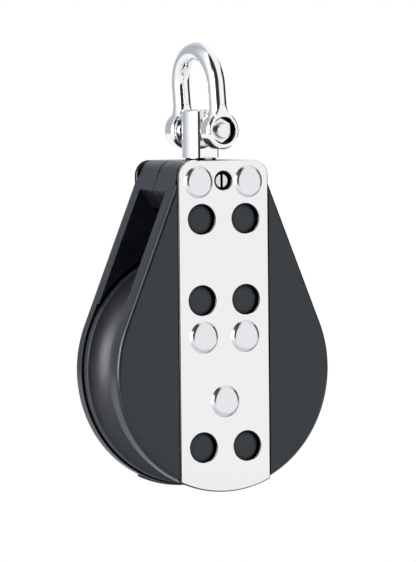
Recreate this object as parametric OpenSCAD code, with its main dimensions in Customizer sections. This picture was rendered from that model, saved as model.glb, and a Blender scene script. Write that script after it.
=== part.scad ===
// Swivel sailing block: a grooved sheave on two rows of balls, between two moulded
// cheeks that are riveted under steel straps, and hung from a swivel post and shackle.
// Millimetres. +Z is up, the sheave turns about Y and the block faces -Y.
// The origin is the inside of the shackle's crown, where the load hangs.

/* [Sheave] */
// Diameter of the sheave over its flanges
sheave_d = 75; // [72:0.5:78]
// Width of the sheave over its flanges
sheave_w = 21.2; // [20:0.2:23]
// Width of the rope groove at the rim
groove_w = 15.6; // [13:0.2:17]
// Depth of the rope groove
groove_depth = 6.5; // [5:0.1:7.5]

/* [Ball bearing] */
// Diameter of a ball
ball_d = 6; // [5:0.1:6.4]
// Balls in each of the two rows
balls_per_row = 20; // [12:1:20]
// Diameter of the circle that the ball centres run on
ball_pitch_d = 40; // [39:0.5:42]
// Distance from the middle of the sheave to each row
ball_row_offset = 5.2; // [4:0.1:6]
// Gap between a ball and its track
ball_clearance = 0.1; // [0.05:0.01:0.2]
// Gap between the hub and the bore of the sheave, where the balls show
race_gap = 3.6; // [3:0.1:4.4]
// Thickness of the ring that keeps the balls in
cap_t = 1.6; // [1:0.1:2]
// How far that ring reaches out past the ball track
cap_seat = 1.4; // [1:0.1:3]
// Gap between that ring and the hub
cap_gap = 0.6; // [0.4:0.1:1]

/* [Cheeks and head] */
// How far the cheeks stand out past the sheave
cheek_margin = 0.7; // [0.4:0.1:2]
// Thickness of a cheek above the sheave
cheek_t = 5.85; // [5:0.05:7]
// Distance between the cheeks above the sheave
throat_w = 18.8; // [17:0.1:19.6]
// Gap between the sheave and a cheek
flange_gap = 0.3; // [0.2:0.05:0.6]
// Lean of the straight sides from the vertical
side_angle = 22.4; // [20:0.1:23]
// Height of the head's top above the sheave's axis
head_top = 67.2; // [66:0.1:70]
// Radius of the head's top corners
corner_r = 5; // [3:0.5:6]
// Height of the head's lower edge at the sides
head_edge_z = 58.2; // [56:0.1:60]
// Height of the underside of the head's middle
head_under_z = 52; // [50:0.1:52.4]
// Width of the underside of the head's middle
head_under_w = 27; // [20:0.5:30]
// Width and depth of the relief on each side of the seam
seam_relief = 0.3; // [0.1:0.05:0.5]

/* [Straps] */
// Width of a strap
strap_w = 32.4; // [30:0.1:33]
// Thickness of a strap
strap_t = 1.6; // [1.2:0.1:2]
// How far a strap stands proud of its cheek
strap_proud = 0.2; // [0:0.05:0.5]
// How far a strap's foot reaches past the cheek
strap_overhang = 0.45; // [0:0.05:1]
// Gap at each side of a strap in its channel
strap_side_gap = 0.25; // [0.1:0.05:0.5]
// Diameter of a lightening hole
hole_d = 9.4; // [7:0.1:10]
// Distance between the two lightening holes of a pair
hole_spacing = 15.7; // [13:0.1:18]
// Height of the highest pair of lightening holes
hole_high_z = 48.5; // [46:0.1:49.5]
// Height of the middle pair of lightening holes
hole_mid_z = 22.6; // [21.5:0.1:30]
// Height of the lowest pair of lightening holes
hole_low_z = -24.3; // [-27:0.1:-20]

/* [Rivets] */
// Diameter of a rivet's shank
rivet_d = 5; // [4:0.1:5.4]
// Gap between a rivet's shank and its hole
rivet_clearance = 0.05; // [0.02:0.01:0.1]
// Diameter of a rivet's head where it meets the strap
rivet_head_d = 10.2; // [8:0.1:10.6]
// Diameter of the flat on a rivet's head
rivet_face_d = 8.2; // [6:0.1:9]
// Height of a rivet's head
rivet_head_h = 0.85; // [0.4:0.05:1.4]
// Distance between the two rivets through the head
head_rivet_spacing = 17.9; // [17.4:0.1:18.4]
// Height of the rivets through the head
head_rivet_z = 60.4; // [60:0.1:61.4]
// Distance between the two upper rivets through the hub
hub_rivet_spacing = 14.9; // [12:0.1:15.4]
// Height of the upper rivets through the hub
hub_rivet_high_z = 10.9; // [9:0.1:11.2]
// Height of the lower rivet through the hub
hub_rivet_low_z = -9.7; // [-12:0.1:-8]

/* [Set screw] */
// Diameter of the set screw
screw_d = 5; // [4:0.1:5.2]
// Length of the set screw
screw_len = 8.4; // [6:0.1:8.6]
// Gap between the set screw and its thread
screw_clearance = 0.04; // [0.02:0.01:0.1]
// Diameter of the hole in the strap over the set screw
screw_hole_d = 5.9; // [5.4:0.1:6.4]
// Height of the set screw
screw_z = 60.7; // [60.4:0.1:61.5]
// Depth of the set screw below the strap's face
screw_recess = 1.2; // [0.8:0.1:1.8]
// Chamfer on the set screw's ends
screw_chamfer = 0.4; // [0.2:0.1:0.8]
// Width of the set screw's slot
slot_w = 0.9; // [0.6:0.1:1.2]
// Depth of the set screw's slot
slot_depth = 1.3; // [0.8:0.1:1.6]

/* [Swivel post] */
// Diameter of the post above the head
post_d = 12; // [11.6:0.1:13]
// Thickness of the post between its two flats
tongue_t = 10.1; // [9:0.1:10.6]
// Height of the post above the shackle pin
post_above_pin = 6.7; // [5:0.1:8]
// Chamfer round the top of the post
post_chamfer = 0.6; // [0.2:0.1:1.2]
// Height of the post's shoulder above the head
post_lift = 0.75; // [0.3:0.05:1.2]
// How far the flats run past the shoulder, clear of the head
flat_runout = 0.3; // [0.1:0.05:0.6]
// Diameter of the neck that turns in the head
neck_d = 9.9; // [9:0.1:10.2]
// Gap between the neck and its bore
neck_clearance = 0.08; // [0.03:0.01:0.1]
// Diameter of the groove where the set screw bears
lock_groove_d = 9.2; // [8.6:0.1:9.6]
// Width of that groove
lock_groove_w = 5.6; // [5.4:0.1:6]
// Diameter of the flange that holds the post in the head
post_flange_d = 15; // [13:0.1:15.4]
// Thickness of the post's flange
post_flange_t = 2.4; // [1.6:0.1:2.6]
// Thickness of each of the two washers about the flange
washer_t = 0.8; // [0.5:0.05:1]
// Gap between the flange and each washer
washer_gap = 0.05; // [0.02:0.01:0.1]
// Gap round the flange and washers in their pocket
pocket_gap = 0.2; // [0.1:0.05:0.4]
// Thickness of the head under that pocket
pocket_floor = 1.2; // [0.8:0.1:1.6]

/* [Shackle] */
// Height of the shackle pin above the head
pin_above_head = 9.5; // [9:0.1:12]
// Turn of the shackle from facing the front
shackle_turn = 3.8; // [0:0.1:45]
// Lean of the shackle about its pin
shackle_lean = 4; // [0:0.1:20]
// How far the shackle sits along its pin from the post's middle
shackle_shift = 0.75; // [0:0.05:1.5]
// Diameter of the shackle's bar
bar_d = 5.8; // [5.7:0.1:6.4]
// Distance between the centres of the shackle's legs
leg_spacing = 22; // [20:0.1:24]
// Inside height of the shackle from its pin's centre to its crown
bow_height = 22.5; // [21:0.1:26]
// Diameter of the shackle's ears
ear_d = 12; // [11.6:0.1:12.6]
// Thickness of the shackle's ears
ear_t = 5.6; // [5.2:0.1:5.7]
// Radius of the flare from a leg into its ear
flare_r = 7; // [5:0.5:9]
// Rounding of the ears' edges
ear_round = 1.2; // [0.5:0.1:1.4]
// Depth of the round recess for the pin's head
head_recess_depth = 3.2; // [2.4:0.1:3.6]
// Diameter of the shackle pin
pin_d = 6; // [5:0.1:6.2]
// Gap between the shackle pin and its holes
pin_clearance = 0.06; // [0.03:0.01:0.1]
// Size of the shackle pin's hexagonal head across its flats
pin_hex = 7; // [6.6:0.1:7.4]
// Thickness of the shackle pin's head
pin_head_t = 1.3; // [1:0.1:1.6]
// Gap round the shackle pin's head in its recess
recess_gap = 0.4; // [0.2:0.05:0.6]
// Diameter of the round stub on the shackle pin's head
stub_d = 4.4; // [3.6:0.1:5]
// Height of that stub
stub_h = 1.9; // [1.4:0.1:2.2]
// How far the shackle pin stands out of the far ear
pin_end = 0.4; // [0:0.1:1]

/* [Hidden] */

$fn = 96;
overlap = 1;
half_turn = 180;
sheave_r = sheave_d / 2;
cheek_r = sheave_r + cheek_margin;
throat_half = throat_w / 2;
hub_half = sheave_w / 2 + flange_gap;
cheek_face = throat_half + cheek_t;
strap_face = cheek_face + strap_proud;
strap_back = strap_face - strap_t;
recess_r = sheave_r + 2 * cheek_margin;
// A race's plain wall stands this far into the gap past the bottom of its ball track
track_lip = 0.05;
// Straight edges lie this far inside the arcs that they meet, so that they cross cleanly
side_inset = 0.02;
// A flare's sides and foot lie this far inside its ear, so that the two cross cleanly
flare_inset = 0.05;
head_mid_x = (cheek_r - corner_r - (head_top - corner_r) * sin(side_angle)) / cos(side_angle);
pitch_r = ball_pitch_d / 2;
hub_r = pitch_r - race_gap / 2;
bore_r = pitch_r + race_gap / 2;
track_r = ball_d / 2 + ball_clearance;
outer_track_r = pitch_r + track_r;
inner_track_r = pitch_r - track_r;
cap_r = outer_track_r + cap_seat;
cap_bore_r = hub_r + cap_gap;
groove_arc_r = (pow(groove_w / 2, 2) + pow(groove_depth, 2)) / (2 * groove_depth);
rivet_hole_d = rivet_d + 2 * rivet_clearance;
pocket_bottom = head_under_z + pocket_floor;
flange_z = pocket_bottom + washer_t + washer_gap;
pocket_top = flange_z + post_flange_t + washer_gap + washer_t;
pocket_d = post_flange_d + 2 * pocket_gap;
neck_bore_d = neck_d + 2 * neck_clearance;
pin_z = head_top + pin_above_head;
post_top = pin_z + post_above_pin;
crown_out = bow_height * sin(shackle_lean);
crown_z = pin_z + bow_height * cos(shackle_lean);
along_x = sin(shackle_turn);
along_y = -cos(shackle_turn);
bar_r = bar_d / 2;
ear_r = ear_d / 2;
bow_r = leg_spacing / 2;
ear_face = bow_r + ear_t / 2;
arch_z = bow_height + bar_r - bow_r;
flare_foot_r = ear_r - flare_inset;
flare_top = sqrt(pow(flare_foot_r + flare_r, 2) - pow(bar_r + flare_r, 2));
pin_hole_d = pin_d + 2 * pin_clearance;
pin_corner_d = pin_hex / cos(30);
head_recess_d = pin_corner_d + 2 * recess_gap;
pin_seat = ear_face - head_recess_depth;

// Moves a piece from the sheave's axis to its place below the shackle's crown
module hung() {
    translate([-shackle_shift * along_x - crown_out * along_y,
        -shackle_shift * along_y + crown_out * along_x, -crown_z]) children();
}

// Stands a piece up that is drawn flat, with its face towards the front
module upright() {
    rotate([90, 0, 0]) children();
}

// Turns a piece of the shackle about the post, with its +X along the pin
module on_pin() {
    translate([0, 0, pin_z]) rotate([0, 0, shackle_turn - 90]) children();
}

// Leans a piece with the shackle and moves it with the shackle along the pin
module on_bow() {
    on_pin() translate([shackle_shift, 0, 0]) rotate([shackle_lean, 0, 0]) children();
}

// Lays a revolved piece along the pin
module along_pin() {
    rotate([0, 90, 0]) children();
}

// Points of an arc about a centre
function arc(centre, radius, from, to, steps) =
    [for (i = [0:steps]) let (a = from + (to - from) * i / steps)
        centre + radius * [cos(a), sin(a)]];

// Flat outline of a cheek: a disc whose straight sides rise to two round corners
module teardrop(shrink = 0) {
    outward = [cos(side_angle), sin(side_angle)];
    corner = [head_mid_x, head_top - corner_r];
    foot = (cheek_r - shrink - side_inset) * outward;
    shoulder = corner + (corner_r - shrink - side_inset) * outward;
    top = head_top - shrink - side_inset;
    circle(r = cheek_r - shrink);
    polygon([[-foot.x, foot.y], [0, 0], foot, shoulder, [corner.x, top],
        [-corner.x, top], [-shoulder.x, shoulder.y]]);
    for (side = [-1, 1])
        translate([side * corner.x, corner.y]) circle(r = corner_r - shrink);
}

// Outline of the head: the top of a cheek over a tapering underside
module head_outline(shrink = 0) {
    edge_x = (cheek_r - head_edge_z * sin(side_angle)) / cos(side_angle);
    intersection() {
        teardrop(shrink);
        polygon([[-head_under_w / 2, head_under_z + shrink], [head_under_w / 2, head_under_z + shrink],
            [edge_x, head_edge_z + shrink], [cheek_r, head_edge_z + shrink],
            [cheek_r, head_top + overlap], [-cheek_r, head_top + overlap],
            [-cheek_r, head_edge_z + shrink], [-edge_x, head_edge_z + shrink]]);
    }
}

// Half of the head, moulded in one with its cheek and relieved at the seam
module half_head() {
    linear_extrude(seam_relief + overlap) head_outline(seam_relief);
    translate([0, 0, seam_relief])
        linear_extrude(strap_back - seam_relief) head_outline();
}

// Places a copy at every rivet through the head
module at_head_rivets() {
    for (side = [-1, 1])
        translate([side * head_rivet_spacing / 2, head_rivet_z]) children();
}

// Places a copy at every rivet through the hub
module at_hub_rivets() {
    for (side = [-1, 1])
        translate([side * hub_rivet_spacing / 2, hub_rivet_high_z]) children();
    translate([0, hub_rivet_low_z]) children();
}

// Outline of a strap: round corners at the top and a foot that follows the cheek
module strap_outline() {
    half = strap_w / 2;
    foot_r = cheek_r + strap_overhang;
    intersection() {
        union() {
            circle(r = foot_r);
            translate([-half, 0]) square([strap_w, head_top]);
        }
        union() {
            translate([-half, -foot_r]) square([strap_w, foot_r + head_top - corner_r]);
            translate([corner_r - half, 0]) square([strap_w - 2 * corner_r, head_top]);
            for (side = [-1, 1])
                translate([side * (half - corner_r), head_top - corner_r]) circle(r = corner_r);
        }
    }
}

// A cheek's plate with the channel for its strap down the face
module channelled_plate() {
    channel_w = strap_w + 2 * strap_side_gap;
    difference() {
        translate([0, 0, throat_half]) linear_extrude(cheek_t) teardrop();
        translate([-channel_w / 2, -cheek_r - overlap, strap_back])
            cube([channel_w, cheek_r + head_top + 2 * overlap, strap_t]);
    }
}

// One cheek with its half of the head, lying with its face up
module cheek() {
    difference() {
        union() {
            channelled_plate();
            half_head();
        }
        cylinder(r = recess_r, h = hub_half);
        at_head_rivets() translate([0, 0, -overlap])
            cylinder(d = rivet_hole_d, h = cheek_face + 2 * overlap);
        at_hub_rivets()
            cylinder(d = rivet_hole_d, h = cheek_face + overlap);
        swivel_pocket();
    }
}

// Space for the post's neck, flange and washers, lying as the cheek lies
module swivel_pocket() {
    rotate([-90, 0, 0]) {
        translate([0, 0, pocket_bottom]) cylinder(d = pocket_d, h = pocket_top - pocket_bottom);
        translate([0, 0, pocket_bottom])
            cylinder(d = neck_bore_d, h = head_top - pocket_bottom + overlap);
    }
}

// Front cheek, which also has the thread for the set screw
module front_cheek() {
    color("dimgray") upright() difference() {
        cheek();
        translate([0, screw_z]) cylinder(d = screw_d + 2 * screw_clearance, h = cheek_face + overlap);
    }
}

// Back cheek, the same moulding facing the other way
module back_cheek() {
    color("dimgray") mirror([0, 1, 0]) upright() cheek();
}

// One steel strap with its rivet holes and lightening holes
module strap() {
    translate([0, 0, strap_back]) linear_extrude(strap_t) difference() {
        strap_outline();
        at_head_rivets() circle(d = rivet_hole_d);
        at_hub_rivets() circle(d = rivet_hole_d);
        translate([0, screw_z]) circle(d = screw_hole_d);
        for (side = [-1, 1], z = [hole_high_z, hole_mid_z, hole_low_z])
            translate([side * hole_spacing / 2, z]) circle(d = hole_d);
    }
}

// Front strap
module front_strap() {
    color("silver") upright() strap();
}

// Back strap, the same stamping
module back_strap() {
    color("silver") mirror([0, 1, 0]) upright() strap();
}

// A rivet right through the block with a flat head at each end
module rivet() {
    translate([0, 0, -strap_face]) cylinder(d = rivet_d, h = 2 * strap_face);
    for (end = [0, 1]) mirror([0, 0, end])
        translate([0, 0, strap_face])
            cylinder(d1 = rivet_head_d, d2 = rivet_face_d, h = rivet_head_h);
}

// The two rivets through the head
module head_rivets() {
    color("gainsboro") upright() at_head_rivets() rivet();
}

// The three rivets through the hub
module hub_rivets() {
    color("gainsboro") upright() at_hub_rivets() rivet();
}

// The slotted screw that locks the swivel
module set_screw() {
    body_len = screw_len - 2 * screw_chamfer;
    color("gainsboro") upright()
        translate([0, screw_z, strap_face - screw_recess - screw_len]) difference() {
            union() {
                cylinder(d1 = screw_d - 2 * screw_chamfer, d2 = screw_d, h = screw_chamfer);
                translate([0, 0, screw_chamfer]) cylinder(d = screw_d, h = body_len);
                translate([0, 0, screw_chamfer + body_len])
                    cylinder(d1 = screw_d, d2 = screw_d - 2 * screw_chamfer, h = screw_chamfer);
            }
            translate([-slot_w / 2, -screw_d, screw_len - slot_depth])
                cube([slot_w, 2 * screw_d, slot_depth + overlap]);
        }
}

// The post: a flange and neck that turn in the head, under a flattened round stem
module swivel_post() {
    shoulder = head_top + post_lift;
    flange_top = flange_z + post_flange_t;
    hole_half = lock_groove_w / 2;
    color("gainsboro") difference() {
        rotate_extrude() polygon([[0, flange_z], [post_flange_d / 2, flange_z],
            [post_flange_d / 2, flange_top], [neck_d / 2, flange_top],
            [neck_d / 2, screw_z - hole_half], [lock_groove_d / 2, screw_z - hole_half],
            [lock_groove_d / 2, screw_z + hole_half], [neck_d / 2, screw_z + hole_half],
            [neck_d / 2, shoulder], [post_d / 2, shoulder],
            [post_d / 2, post_top - post_chamfer], [post_d / 2 - post_chamfer, post_top],
            [0, post_top]]);
        on_pin() for (side = [0, 1]) mirror([side, 0, 0])
            translate([tongue_t / 2, -post_d, shoulder - pin_z - flat_runout])
                cube([post_d, 2 * post_d, post_d + post_top - shoulder]);
        on_pin() along_pin() cylinder(d = pin_hole_d, h = 2 * post_d, center = true);
    }
}

// A flat washer of the swivel
module swivel_washer(z) {
    color("ivory") translate([0, 0, z]) difference() {
        cylinder(d = post_flange_d, h = washer_t);
        translate([0, 0, -overlap]) cylinder(d = neck_bore_d + pocket_gap, h = washer_t + 2 * overlap);
    }
}

// The washer over the post's flange, which carries the load
module upper_washer() {
    swivel_washer(pocket_top - washer_t);
}

// The washer under the post's flange
module lower_washer() {
    swivel_washer(pocket_bottom);
}

// The flare from a leg down into its ear, flattened to the ear's thickness
module leg_flare() {
    foot = flare_foot_r / (flare_foot_r + flare_r) * [bar_r + flare_r, flare_top];
    lean = atan(flare_top / (bar_r + flare_r));
    intersection() {
        rotate_extrude() polygon(concat([[0, 0], [foot.x, 0]],
            arc([bar_r + flare_r, flare_top], flare_r, half_turn + lean, half_turn, 8),
            [[0, flare_top]]));
        cube([ear_t - 2 * flare_inset, ear_d, 3 * flare_top], center = true);
    }
}

// An ear of the shackle: a thick disc with rounded edges
module ear() {
    rotate_extrude() polygon(concat([[0, -ear_t / 2]],
        arc([ear_r - ear_round, ear_round - ear_t / 2], ear_round, -90, 0, 5),
        arc([ear_r - ear_round, ear_t / 2 - ear_round], ear_round, 0, 90, 5),
        [[0, ear_t / 2]]));
}

// The forged bow: two ears, their flares and legs, and a round arch over them
module shackle_bow() {
    color("silver") on_bow() difference() {
        union() {
            for (side = [0, 1]) mirror([side, 0, 0]) {
                translate([bow_r, 0, 0]) along_pin() ear();
                translate([bow_r, 0, 0]) leg_flare();
                translate([bow_r, 0, flare_top]) cylinder(r = bar_r, h = arch_z - flare_top);
            }
            translate([0, 0, arch_z]) upright() rotate_extrude(angle = half_turn)
                translate([bow_r, 0]) circle(r = bar_r);
        }
        along_pin() cylinder(d = pin_hole_d, h = 2 * (ear_face + overlap), center = true);
        along_pin() translate([0, 0, pin_seat])
            cylinder(d = head_recess_d, h = head_recess_depth + overlap);
    }
}

// The pin: a round shank, a hexagonal head and the round stub in its middle
module shackle_pin() {
    shank = ear_face + pin_end + pin_seat;
    color("gainsboro") on_bow() along_pin() {
        translate([0, 0, pin_seat - shank]) cylinder(d = pin_d, h = shank);
        translate([0, 0, pin_seat]) cylinder(d = pin_corner_d, h = pin_head_t, $fn = 6);
        translate([0, 0, pin_seat + pin_head_t]) cylinder(d = stub_d, h = stub_h);
    }
}

// A ring-shaped cutter of round section about the sheave's axis
module ring_cut(radius, section_r) {
    rotate_extrude() translate([radius, 0]) circle(r = section_r);
}

// The grooved sheave with its bore and the two outer ball tracks
module sheave() {
    color("darkslategray") upright() difference() {
        cylinder(r = sheave_r, h = sheave_w, center = true);
        ring_cut(sheave_r - groove_depth + groove_arc_r, groove_arc_r);
        cylinder(r = bore_r, h = sheave_w + overlap, center = true);
        for (side = [0, 1]) mirror([0, 0, side]) {
            translate([0, 0, ball_row_offset]) ring_cut(pitch_r, track_r);
            translate([0, 0, ball_row_offset])
                cylinder(r = outer_track_r - track_lip, h = sheave_w);
            translate([0, 0, sheave_w / 2 - cap_t]) cylinder(r = cap_r, h = sheave_w);
        }
    }
}

// A ring pressed into the sheave's side that keeps the balls in
module race_cap() {
    translate([0, 0, sheave_w / 2 - cap_t]) difference() {
        cylinder(r = cap_r, h = cap_t);
        translate([0, 0, -overlap]) cylinder(r = cap_bore_r, h = cap_t + 2 * overlap);
    }
}

// Front ring
module front_race_cap() {
    color("dimgray") upright() race_cap();
}

// Back ring
module back_race_cap() {
    color("dimgray") mirror([0, 1, 0]) upright() race_cap();
}

// Half of the hub: the inner track of one row of balls, bored for the three hub rivets
module hub() {
    difference() {
        union() {
            cylinder(r = inner_track_r + track_lip, h = hub_half);
            translate([0, 0, ball_row_offset]) cylinder(r = hub_r, h = hub_half - ball_row_offset);
        }
        translate([0, 0, ball_row_offset]) ring_cut(pitch_r, track_r);
        at_hub_rivets() translate([0, 0, -overlap])
            cylinder(d = rivet_hole_d, h = hub_half + 2 * overlap);
    }
}

// Front half of the hub
module front_hub() {
    color("gray") upright() hub();
}

// Back half of the hub
module back_hub() {
    color("gray") mirror([0, 1, 0]) upright() hub();
}

// One row of balls
module ball_row() {
    color("white") upright() for (i = [0:balls_per_row - 1])
        rotate([0, 0, 360 * i / balls_per_row])
            translate([pitch_r, 0, ball_row_offset]) sphere(d = ball_d);
}

// Front row of balls
module front_balls() {
    ball_row();
}

// Back row of balls
module back_balls() {
    mirror([0, 1, 0]) ball_row();
}

hung() front_cheek();
hung() back_cheek();
hung() front_strap();
hung() back_strap();
hung() head_rivets();
hung() hub_rivets();
hung() set_screw();
hung() swivel_post();
hung() upper_washer();
hung() lower_washer();
hung() shackle_bow();
hung() shackle_pin();
hung() sheave();
hung() front_race_cap();
hung() back_race_cap();
hung() front_hub();
hung() back_hub();
hung() front_balls();
hung() back_balls();
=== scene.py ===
import bpy
import math
from mathutils import Matrix, Vector


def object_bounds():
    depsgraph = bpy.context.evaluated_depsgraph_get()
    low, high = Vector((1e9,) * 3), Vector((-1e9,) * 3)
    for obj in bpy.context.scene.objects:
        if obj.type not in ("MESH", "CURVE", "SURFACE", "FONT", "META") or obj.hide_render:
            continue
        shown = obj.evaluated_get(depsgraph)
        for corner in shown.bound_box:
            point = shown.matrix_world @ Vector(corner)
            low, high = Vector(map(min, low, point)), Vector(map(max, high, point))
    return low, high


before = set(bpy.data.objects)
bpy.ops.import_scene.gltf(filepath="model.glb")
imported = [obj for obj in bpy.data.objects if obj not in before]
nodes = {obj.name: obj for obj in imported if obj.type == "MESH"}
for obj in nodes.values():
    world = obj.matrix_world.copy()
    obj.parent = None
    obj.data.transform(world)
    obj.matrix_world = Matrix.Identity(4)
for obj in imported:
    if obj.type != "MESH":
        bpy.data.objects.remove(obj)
cad_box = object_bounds()


# Lengths are in metres. The origin is the inside of the shackle's crown.

# Centre of the sheave
SHEAVE = Vector((0.001516, 0.000852, -0.099145))

# Angle of the photo's viewpoint to the left of straight in front
PHOTO_AZIMUTH = 27.606

BLACK = (0, 0, 0, 1)
WHITE = (1, 1, 1, 1)


def even(level):
    """A grey, as a colour of three equal parts."""
    return (level, level, level)


# Helpers for node trees

class Tree:
    """A node tree with short ways to add and join nodes."""

    # Sockets of a mix node that belong to its colours
    FIRST_COLOUR = 6
    SECOND_COLOUR = 7
    MIXED_COLOUR = 2

    def __init__(self, tree):
        self.tree = tree

    def feed(self, entry, source):
        """Joins an output to an input, or sets the input to a number or a colour."""
        if isinstance(source, bpy.types.NodeSocket):
            self.tree.links.new(source, entry)
        else:
            entry.default_value = source

    def add(self, kind, **values):
        """Adds a node. A value feeds the input of its name, or else is a setting."""
        node = self.tree.nodes.new("ShaderNode" + kind)
        for key, value in values.items():
            entry = key.replace("_", " ")
            if entry in node.inputs:
                self.feed(node.inputs[entry], value)
            else:
                setattr(node, key, value)
        return node

    def compute(self, operation, first, second):
        """The result of a sum on two numbers or outputs."""
        node = self.add("Math", operation=operation)
        self.feed(node.inputs[0], first)
        self.feed(node.inputs[1], second)
        return node.outputs[0]

    def blend(self, share, first, second, **settings):
        """Two colours or outputs mixed by a share."""
        node = self.add("Mix", data_type="RGBA", **settings)
        self.feed(node.inputs["Factor"], share)
        self.feed(node.inputs[self.FIRST_COLOUR], first)
        self.feed(node.inputs[self.SECOND_COLOUR], second)
        return node.outputs[self.MIXED_COLOUR]

    def ramp(self, source, stops):
        """A colour from a ramp of stops, each (position, colour)."""
        node = self.add("ValToRGB", Fac=source)
        elements = node.color_ramp.elements
        elements.remove(elements[1])
        elements[0].position = stops[0][0]
        elements[0].color = (*stops[0][1], 1)
        for position, colour in stops[1:]:
            elements.new(position).color = (*colour, 1)
        return node.outputs["Color"]


class Surface(Tree):
    """The node tree of a new material."""

    # Share of open sky at which the painted crease shade is black, and from which a crease has its
    # full colour
    CREASE_BLACK = 0.45
    CREASE_CLEAR = 0.9

    # Part of a noise texture's range that is spread over a shader input's whole range
    SPREAD = (0.35, 0.65)

    def __init__(self, name):
        self.material = bpy.data.materials.new(name)
        self.material.use_nodes = True
        super().__init__(self.material.node_tree)
        self.shader = self.tree.nodes["Principled BSDF"]

    def set(self, **values):
        """Sets inputs of the shader to numbers, colours or outputs."""
        for key, value in values.items():
            self.feed(self.shader.inputs[key.replace("_", " ")], value)

    def noise(self, scale, detail=4, stretch=(1, 1, 1)):
        """A noise texture over the piece, scale in features per metre."""
        place = self.add("TexCoord").outputs["Object"]
        mapping = self.add("Mapping", Vector=place, Scale=stretch)
        texture = self.add("TexNoise", Vector=mapping.outputs["Vector"], Scale=scale, Detail=detail)
        return texture.outputs[0]

    def vary_roughness(self, texture, rough):
        """Lets the roughness vary between two values with the texture."""
        remap = self.add("MapRange", interpolation_type="SMOOTHSTEP", Value=texture,
                         From_Min=self.SPREAD[0], From_Max=self.SPREAD[1],
                         To_Min=rough[0], To_Max=rough[1])
        self.set(Roughness=remap.outputs["Result"])

    def vary_colour(self, texture, dark, light):
        """Lets the base colour vary between two colours with the texture."""
        self.set(Base_Color=self.ramp(texture, [(self.SPREAD[0], dark), (self.SPREAD[1], light)]))

    def relief(self, texture, strength, distance):
        """Small relief from the texture, distance in metres."""
        bump = self.add("Bump", Strength=strength, Distance=distance, Height=texture)
        self.set(Normal=bump.outputs["Normal"])

    def paint_crease_shade(self, reach, gloss=None):
        """Paints shade into creases narrower than the reach, from an ambient occlusion share:
        darkens the base colour, and the gloss if it is given.
        """
        sky = self.add("AmbientOcclusion", Distance=reach).outputs["AO"]
        share = self.add("MapRange", Value=sky, From_Min=self.CREASE_BLACK,
                         From_Max=self.CREASE_CLEAR).outputs["Result"]
        plain = self.shader.inputs["Base Color"].links[0].from_socket
        self.set(Base_Color=self.blend(share, BLACK, plain))
        if gloss:
            self.set(Specular_IOR_Level=self.compute("MULTIPLY", share, gloss))


# Materials

def moulded_plastic(name, dark, light, rough, grain):
    """Matt plastic with a fine moulded grain and faint uneven gloss, a little blue, and painted
    shade in its creases.
    """
    surface = Surface(name)
    surface.set(Specular_Tint=(0.86, 0.93, 1.0, 1))
    surface.vary_colour(surface.noise(90), dark, light)
    surface.vary_roughness(surface.noise(400), rough)
    surface.relief(surface.noise(3500, 2), grain, distance=0.00004)
    # Painted shade: creases within 2 mm are darkened in colour and gloss
    surface.paint_crease_shade(0.002, gloss=0.63)
    return surface.material


def steel(name, dark, light, rough, stretch=(1, 1, 1), relief=0.02):
    """Stainless steel with faint polishing marks, long along an axis with a small stretch, and
    painted shade in its creases.
    """
    surface = Surface(name)
    surface.set(Metallic=1.0)
    surface.vary_colour(surface.noise(60), dark, light)
    surface.vary_roughness(surface.noise(900, 3, stretch), rough)
    surface.relief(surface.noise(1500, 2, stretch), relief, distance=0.00001)
    # Painted shade: creases within 1.2 mm are darkened in colour
    surface.paint_crease_shade(0.0012)
    return surface.material


def pressed_sheet(name, outward, edge):
    """Satin steel sheet, light where it faces outward along Y, with painted light from above where
    it faces up and painted shade on its cut edges that face sideways or down.
    """
    lengthwise = (1, 1, 0.3)
    surface = Surface(name)
    surface.set(Metallic=1.0, Specular_Tint=(0.3, 0.3, 0.3, 1))
    surface.vary_roughness(surface.noise(900, 3, lengthwise), (0.17, 0.19))
    # Painted light and shade by facing: edges that face up are painted light, the other cut edges
    # are painted dark
    facing = surface.add("SeparateXYZ", Vector=surface.add("TexCoord").outputs["Normal"])
    outwards = surface.compute("MULTIPLY", facing.outputs["Y"], outward)
    painted_top_light = surface.compute("MAXIMUM", facing.outputs["Z"], 0)
    painted_light_share = surface.compute("ADD", outwards, painted_top_light)
    surface.set(Base_Color=surface.ramp(painted_light_share, [(0.965, even(edge)), (0.995, even(0.88))]))
    surface.relief(surface.noise(1500, 2, lengthwise), 0.01, distance=0.00001)
    return surface.material


def anodised(name, dark, light, rough):
    """Black anodised aluminium turned on a lathe, with fine rings about the sheave's axis."""
    across = (0.2, 1, 0.2)
    surface = Surface(name)
    surface.set(Specular_IOR_Level=0.6)
    surface.vary_colour(surface.noise(120), dark, light)
    surface.vary_roughness(surface.noise(700), rough)
    surface.relief(surface.noise(2500, 2, across), 0.03, distance=0.00001)
    return surface.material


cheek = moulded_plastic("moulded_cheek", (0.0045, 0.0055, 0.0075), (0.0065, 0.0075, 0.0095),
                        (0.24, 0.29), 0.12)
# The last number is the level of the painted shade on each strap's cut edges
front_strap = pressed_sheet("satin_front_strap", -1, 0.05)
back_strap = pressed_sheet("satin_back_strap", 1, 0.06)
rivet = steel("smooth_rivet", (0.81, 0.80, 0.84), (0.83, 0.82, 0.86), (0.20, 0.22), relief=0.004)
screw = steel("machined_screw", even(0.74), even(0.80), (0.25, 0.32))
post = steel("turned_post", even(0.93), even(0.95), (0.03, 0.05), (1, 1, 0.2), 0.01)
shackle = steel("polished_shackle", even(0.90), even(0.92), (0.11, 0.13), relief=0.01)
pin = steel("polished_pin", even(0.86), even(0.90), (0.17, 0.21))
sheave = anodised("anodised_sheave", (0.013, 0.015, 0.019), (0.017, 0.019, 0.024), (0.38, 0.44))
cap = moulded_plastic("moulded_cap", even(0.012), even(0.016), (0.4, 0.5), 0.1)
hub = moulded_plastic("moulded_hub", even(0.03), even(0.04), (0.4, 0.5), 0.1)
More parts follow.
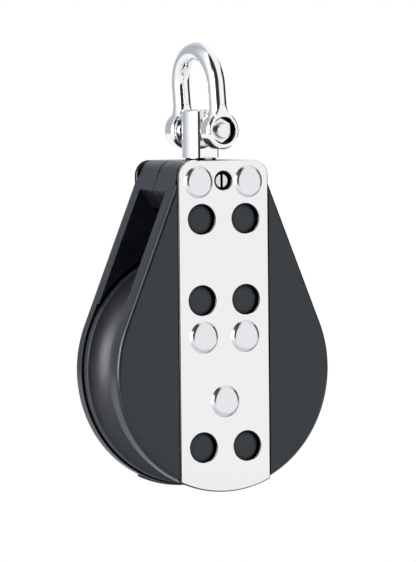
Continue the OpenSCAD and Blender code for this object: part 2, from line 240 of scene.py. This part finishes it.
ball = moulded_plastic("acetal_ball", (0.70, 0.69, 0.64), (0.74, 0.73, 0.68), (0.25, 0.32), 0.02)
washer = moulded_plastic("acetal_washer", (0.62, 0.60, 0.52), (0.66, 0.64, 0.56), (0.35, 0.42), 0.03)

looks = {
    "front_cheek": cheek, "back_cheek": cheek,
    "front_strap": front_strap, "back_strap": back_strap,
    "head_rivets": rivet, "hub_rivets": rivet,
    "set_screw": screw, "swivel_post": post,
    "shackle_bow": shackle, "shackle_pin": pin,
    "sheave": sheave,
    "front_race_cap": cap, "back_race_cap": cap,
    "front_hub": hub, "back_hub": hub,
    "front_balls": ball, "back_balls": ball,
    "upper_washer": washer, "lower_washer": washer,
}
for name, material in looks.items():
    nodes[name].data.materials.clear()
    nodes[name].data.materials.append(material)


# Soft edges, as a press, a mould or a lathe leaves them

# Outline of a cheek: a round foot, straight sides that lean in, and a head with round corners
CHEEK_R = 0.0382
CORNER_R = 0.005
HEAD_TOP = 0.0672
SIDE_ANGLE = math.radians(22.4)
CORNER_X = ((CHEEK_R - CORNER_R - (HEAD_TOP - CORNER_R) * math.sin(SIDE_ANGLE))
            / math.cos(SIDE_ANGLE))

# Edges of a cheek that are farther than this from its middle plane lie on its outer side
OUTER_SIDE = 0.0145

# An edge that rises less than this along Y is level
LEVEL = 0.00001

# The middle of a facet's edge on the outline is no farther than this from the true outline
NEAR_OUTLINE = 0.00008

# An edge round the flat of a rivet's head is no farther than this from the rivet's end
NEAR_END = 0.00002

# Facets whose corners are closer than this are joined, and flatter than the angle are merged
SEAM = 0.000001
FLAT_ANGLE = math.radians(0.3)


def off_outline(x, z):
    """How far a point is inside a cheek's outline, with z from the sheave's axis."""
    x = abs(x)
    corner = Vector((x - CORNER_X, z - HEAD_TOP + CORNER_R))
    along = x * math.cos(SIDE_ANGLE) + z * math.sin(SIDE_ANGLE)
    if corner.x < 0 and corner.y > 0:
        return HEAD_TOP - z
    if corner.y > 0 and corner.y * math.cos(SIDE_ANGLE) > corner.x * math.sin(SIDE_ANGLE):
        return CORNER_R - corner.length
    if z > x * math.tan(SIDE_ANGLE):
        return CHEEK_R - along
    return CHEEK_R - math.hypot(x, z)


def on_rim(start, end):
    """True for an edge that runs along a cheek's outline on its outer side."""
    middle = (start + end) / 2 - SHEAVE
    level = abs(start.y - end.y) < LEVEL and abs(middle.y) > OUTER_SIDE
    return level and abs(off_outline(middle.x, middle.z)) < NEAR_OUTLINE


rivet_end = max(vertex.co.y for vertex in nodes["head_rivets"].data.vertices) - SHEAVE.y


def on_head(start, end):
    """True for an edge round the flat of a rivet's head."""
    return min(abs(start.y - SHEAVE.y), abs(end.y - SHEAVE.y)) > rivet_end - NEAR_END


def round_edges(obj, name, width, segments, limit, sharp=35, clamp=False):
    """Adds a bevel. A clamped one shrinks where it would overlap itself."""
    bevel = obj.modifiers.new(name, "BEVEL")
    bevel.width = width
    bevel.segments = segments
    bevel.limit_method = limit
    bevel.angle_limit = math.radians(sharp)
    bevel.miter_outer = "MITER_ARC"
    bevel.face_strength_mode = "FSTR_AFFECTED"
    bevel.use_clamp_overlap = clamp
    bevel.loop_slide = False


def soften(name, width, wide=0, wanted=None, sharp=35, clamp=True):
    """Rounds the sharp edges of a CAD node by a width, and first the wanted ones by a wide one."""
    obj = nodes[name]
    weld = obj.modifiers.new("close_seams", "WELD")
    weld.merge_threshold = SEAM
    whole = obj.modifiers.new("whole_faces", "DECIMATE")
    whole.decimate_type = "DISSOLVE"
    whole.angle_limit = FLAT_ANGLE
    if wanted:
        weights = obj.data.attributes.new("bevel_weight_edge", "FLOAT", "EDGE")
        for edge in obj.data.edges:
            ends = [obj.data.vertices[i].co for i in edge.vertices]
            weights.data[edge.index].value = 1.0 if wanted(*ends) else 0.0
        round_edges(obj, "round_rim", wide, 4, "WEIGHT")
    round_edges(obj, "soft_edge", width, 3, "ANGLE", sharp, clamp)
    obj.data.shade_smooth()
    smooth = obj.modifiers.new("smooth_faces", "WEIGHTED_NORMAL")
    smooth.keep_sharp = True
    smooth.use_face_influence = True


for name in ("front_cheek", "back_cheek"):
    soften(name, 0.0002, 0.0014, on_rim)
for name in ("front_strap", "back_strap"):
    soften(name, 0.00045, clamp=False)
for name in ("head_rivets", "hub_rivets"):
    soften(name, 0.00005, 0.0007, on_head)
soften("swivel_post", 0.0012, sharp=20)
soften("shackle_pin", 0.0004)
soften("sheave", 0.0003)


# Floor, surroundings and light

# Panels of the studio, each from one angle to the next, in degrees to the right of the photo's
# viewpoint. Colours change gradually from each stop to the next.
COOL = (0.31, 0.33, 0.36)
DARK = even(0.02)
SOFT = even(0.75)
BRIGHT = even(0.66)
BACK = (0.66, 0.68, 0.70)
HAZE = (0.42, 0.46, 0.51)
BEHIND_LEFT = [(-180, HAZE), (-152, HAZE), (-138, COOL), (-112, COOL), (-62, SOFT)]
BEHIND_RIGHT = [(148, BACK), (179, BACK)]
WALLS = BEHIND_LEFT + [(-18, SOFT), (-14, DARK), (28, DARK), (33, BRIGHT), (94, BRIGHT), (98, DARK),
                       (140, DARK)] + BEHIND_RIGHT
UPPER_WALLS = BEHIND_LEFT + [(-40, SOFT), (-30, DARK), (28, DARK), (33, BRIGHT),
                             (140, BRIGHT)] + BEHIND_RIGHT

# The light's colour, and the share of the upper walls, by height: 0 is straight down, 0.5 is level
# and 1 is straight up
LIGHT_BY_HEIGHT = [(0.0, (0.55, 0.6, 0.66)), (0.37, (0.7, 0.74, 0.78)), (0.4, even(1.0)),
                   (1.0, even(1.0))]
UPPER_BY_HEIGHT = [(0.71, even(0)), (0.75, even(1))]
STUDIO_STRENGTH = 1.5

# Colours that the floor shows in reflections, by the distance from its middle: a painted shadow,
# grey close under the block and white farther out
FLOOR_MIRRORED_SHADOW = [(0.06, (0.72, 0.77, 0.83)), (0.2, even(1.0))]
FLOOR_SIZE = 1.2
FLOOR_BELOW = 0.02

# What the lamps are aimed at, the middle of the block
MIDDLE = (0, 0, -0.07)


def stops_round(panels):
    """Ramp stops for panels given by angles to the right of the photo's viewpoint."""
    stops = []
    for angle, colour in panels:
        # The bearing is 0 at +Y and grows clockwise seen from above, and the ramp starts at -Y
        bearing = 180 + PHOTO_AZIMUTH - angle
        stops.append((((bearing + 180) % 360) / 360, colour))
    return sorted(stops)


def white_to_camera(tree, lit, plain, output, mirrored=None):
    """Shows plain white to the camera and, if given, the mirrored colour to reflections."""
    path = tree.add("LightPath")
    hidden = path.outputs["Is Camera Ray"]
    if mirrored:
        tree.feed(plain.inputs["Color"], tree.blend(hidden, mirrored, WHITE))
        hidden = tree.compute("MAXIMUM", hidden, path.outputs["Is Glossy Ray"])
    choose = tree.add("MixShader", Fac=hidden)
    tree.feed(choose.inputs[1], lit.outputs[0])
    tree.feed(choose.inputs[2], plain.outputs[0])
    tree.feed(output.inputs["Surface"], choose.outputs[0])


def make_floor():
    """A pale floor whose reflection holds a painted shadow, grey close under the block and white
    farther out.
    """
    bpy.ops.mesh.primitive_plane_add(size=FLOOR_SIZE, location=(0, 0, cad_box[0][2] - FLOOR_BELOW))
    floor = bpy.context.object
    floor.name = "studio_floor"
    surface = Surface("pale_floor")
    surface.set(Base_Color=(0.5, 0.54, 0.6, 1), Roughness=0.7)
    place = surface.add("TexCoord").outputs["Object"]
    away = surface.add("VectorMath", operation="LENGTH", Vector=place)
    # Painted shadow under the block, seen only in reflections
    mirrored = surface.ramp(away.outputs["Value"], FLOOR_MIRRORED_SHADOW)
    plain = surface.add("Emission", Color=WHITE, Strength=1.0)
    white_to_camera(surface, surface.shader, plain, surface.tree.nodes["Material Output"], mirrored)
    floor.data.materials.append(surface.material)


def make_surroundings():
    """A white studio with dark gaps between its panels, greyer below the horizon."""
    world = bpy.data.worlds.new("studio")
    bpy.context.scene.world = world
    world.use_nodes = True
    tree = Tree(world.node_tree)
    axes = tree.add("SeparateXYZ", Vector=tree.add("TexCoord").outputs["Generated"])
    turn = tree.compute("ARCTAN2", axes.outputs["X"], axes.outputs["Y"])
    bearing = tree.add("MapRange", Value=turn, From_Min=-math.pi, From_Max=math.pi).outputs["Result"]
    height = tree.add("MapRange", Value=axes.outputs["Z"], From_Min=-1, From_Max=1).outputs["Result"]
    walls = tree.ramp(bearing, stops_round(WALLS))
    upper_walls = tree.ramp(bearing, stops_round(UPPER_WALLS))
    room = tree.blend(tree.ramp(height, UPPER_BY_HEIGHT), walls, upper_walls)
    studio = tree.blend(1, room, tree.ramp(height, LIGHT_BY_HEIGHT), blend_type="MULTIPLY")
    lit = tree.tree.nodes["Background"]
    tree.feed(lit.inputs["Color"], studio)
    tree.feed(lit.inputs["Strength"], STUDIO_STRENGTH)
    plain = tree.add("Background", Color=WHITE, Strength=1.0)
    white_to_camera(tree, lit, plain, tree.tree.nodes["World Output"])


def panel(name, place, size, power, mirrored=False):
    """A soft lamp shaped as a rectangle, aimed at the block."""
    data = bpy.data.lights.new(name, "AREA")
    data.shape = "RECTANGLE"
    data.size = size[0]
    data.size_y = size[1]
    data.energy = power
    lamp = bpy.data.objects.new(name, data)
    lamp.location = place
    lamp.rotation_euler = (Vector(MIDDLE) - Vector(place)).to_track_quat("-Z", "Y").to_euler()
    lamp.visible_camera = False
    lamp.visible_glossy = mirrored
    bpy.context.scene.collection.objects.link(lamp)


make_floor()
make_surroundings()
panel("key_panel", (-0.6, -0.9, 0.5), (0.6, 0.6), 2)
panel("edge_strip", (-0.954, -0.299, -0.05), (0.7, 0.9), 14, mirrored=True)


# Camera, at the photo's angle

def photo_camera():
    """The camera that was fitted to the photo: its place, its lens and a slight roll."""
    azimuth = math.radians(-PHOTO_AZIMUTH)
    elevation = math.radians(2.448)
    roll = math.radians(0.534)
    distance = 1.4916
    focal_pixels = 4631
    picture_height = 562
    target = SHEAVE + Vector((0.002232, 0, 0.028174))
    right = Vector((math.cos(azimuth), math.sin(azimuth), 0))
    back = Vector((math.sin(azimuth) * math.cos(elevation),
                   -math.cos(azimuth) * math.cos(elevation),
                   math.sin(elevation)))
    up = back.cross(right)
    x_axis = right * math.cos(roll) - up * math.sin(roll)
    y_axis = up * math.cos(roll) + right * math.sin(roll)
    data = bpy.data.cameras.new("photo_camera")
    data.sensor_fit = "VERTICAL"
    data.sensor_height = 36
    data.lens = focal_pixels * data.sensor_height / picture_height
    data.clip_end = 20
    camera = bpy.data.objects.new("photo_camera", data)
    turn = Matrix((x_axis, y_axis, back)).transposed()
    camera.matrix_world = Matrix.Translation(target + back * distance) @ turn.to_4x4()
    bpy.context.scene.collection.objects.link(camera)
    bpy.context.scene.camera = camera


photo_camera()
bpy.context.scene.view_settings.view_transform = "Standard"
